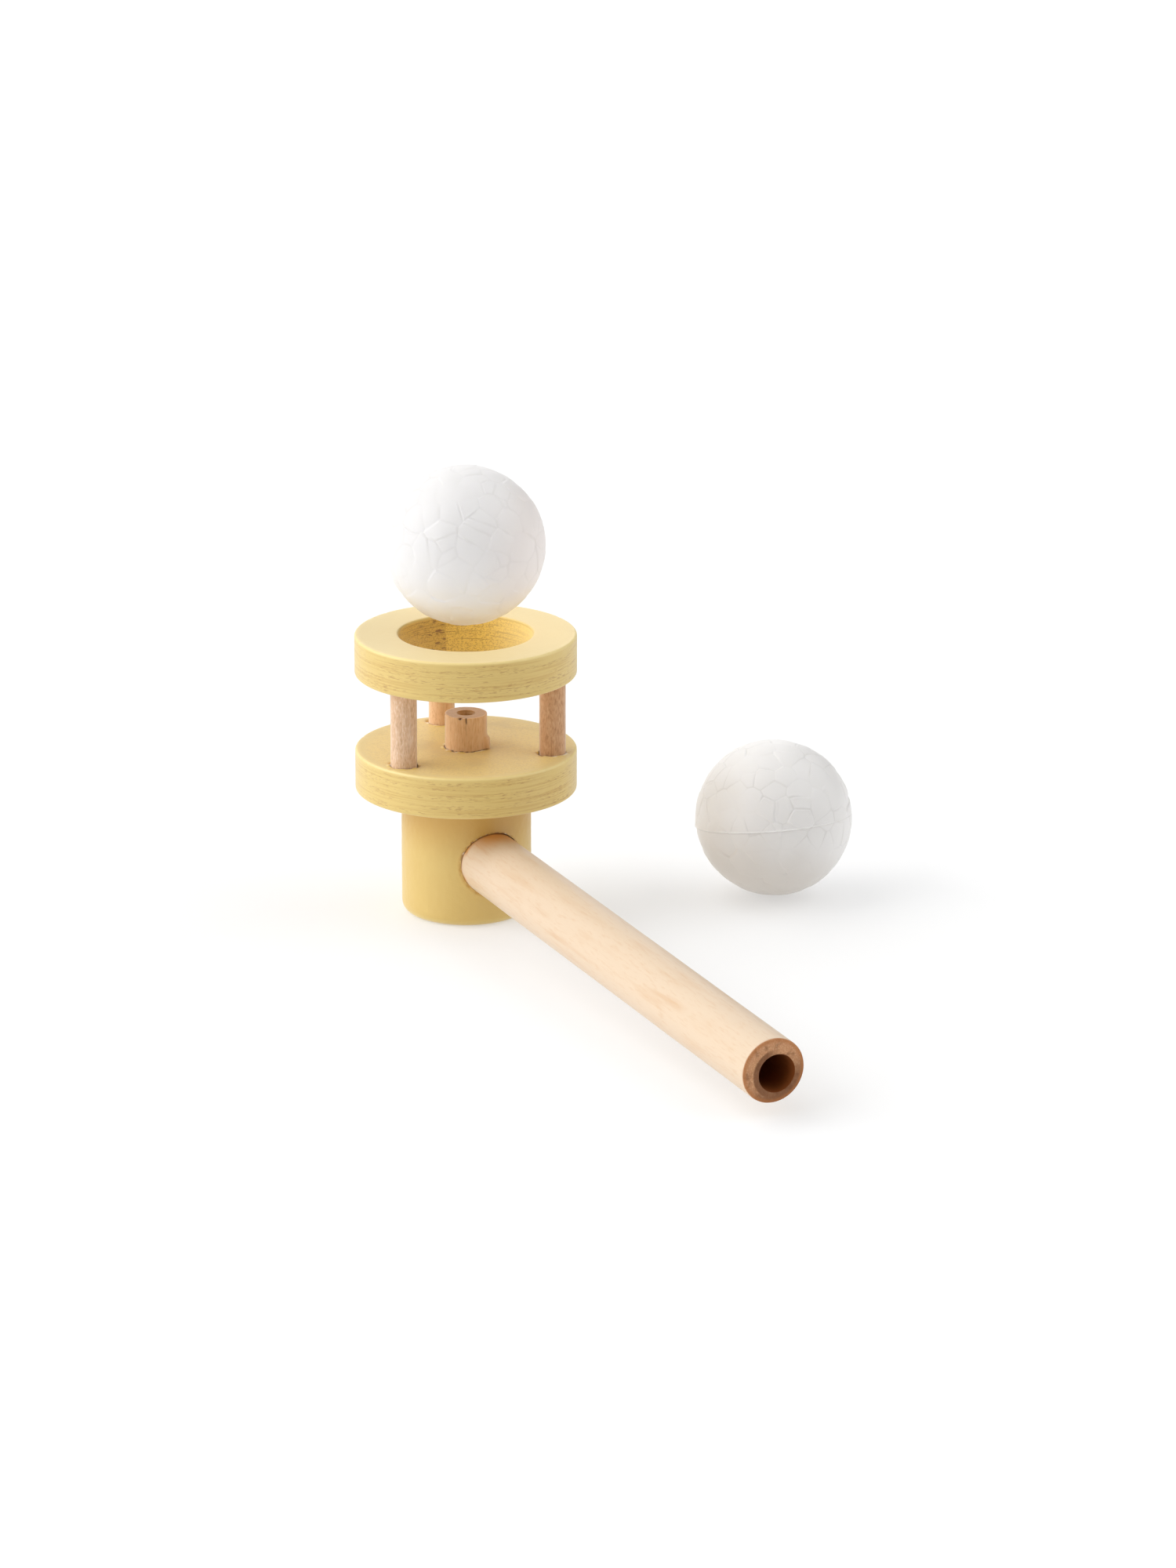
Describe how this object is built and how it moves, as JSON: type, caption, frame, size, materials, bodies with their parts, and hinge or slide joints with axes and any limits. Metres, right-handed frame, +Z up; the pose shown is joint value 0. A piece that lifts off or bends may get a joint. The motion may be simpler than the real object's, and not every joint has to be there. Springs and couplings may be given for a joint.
{
  "type": "floating ball pipe toy",
  "caption": "Wooden blow pipe with a painted stem block, disc and ring on posts, a jet nozzle, a foam ball floating over the ring and a spare ball beside it.",
  "frame": {"origin": "centre of the stem block's bottom face, on the table", "axes": "+Z up along the block, the disc and the ring; +X the way the pipe points; +Y towards the spare ball"},
  "size_m": [0.148, 0.0924, 0.086],
  "materials": {
    "painted_wood": "thin satin yellow paint over turned wood",
    "post_wood": "bare sanded dowel",
    "nozzle_wood": "bare dowel, warm brown",
    "pipe_wood": "pale smooth dowel with a thin clear coat",
    "foam": "moulded expanded polystyrene with visible beads"
  },
  "bodies": {
    "toy": {"stem_block": "painted_wood", "lower_disc": "painted_wood", "cup_ring": "painted_wood", "post_side": "post_wood", "post_back": "post_wood", "post_front": "post_wood", "nozzle": "nozzle_wood", "blow_pipe": "pipe_wood"},
    "floating_ball": {"floating_ball": "foam"},
    "spare_ball": {"spare_ball": "foam"}
  },
  "joints": [
    {"name": "ball_float", "type": "slide", "parent": "toy", "child": "floating_ball", "axis": [0, 0, 1], "range_m": [-0.0088, 0.08]},
    {"name": "spare_ball_roll", "type": "slide", "parent": "toy", "child": "spare_ball", "axis": [0, 1, 0], "range_m": [-0.02, 0.12]}
  ]
}
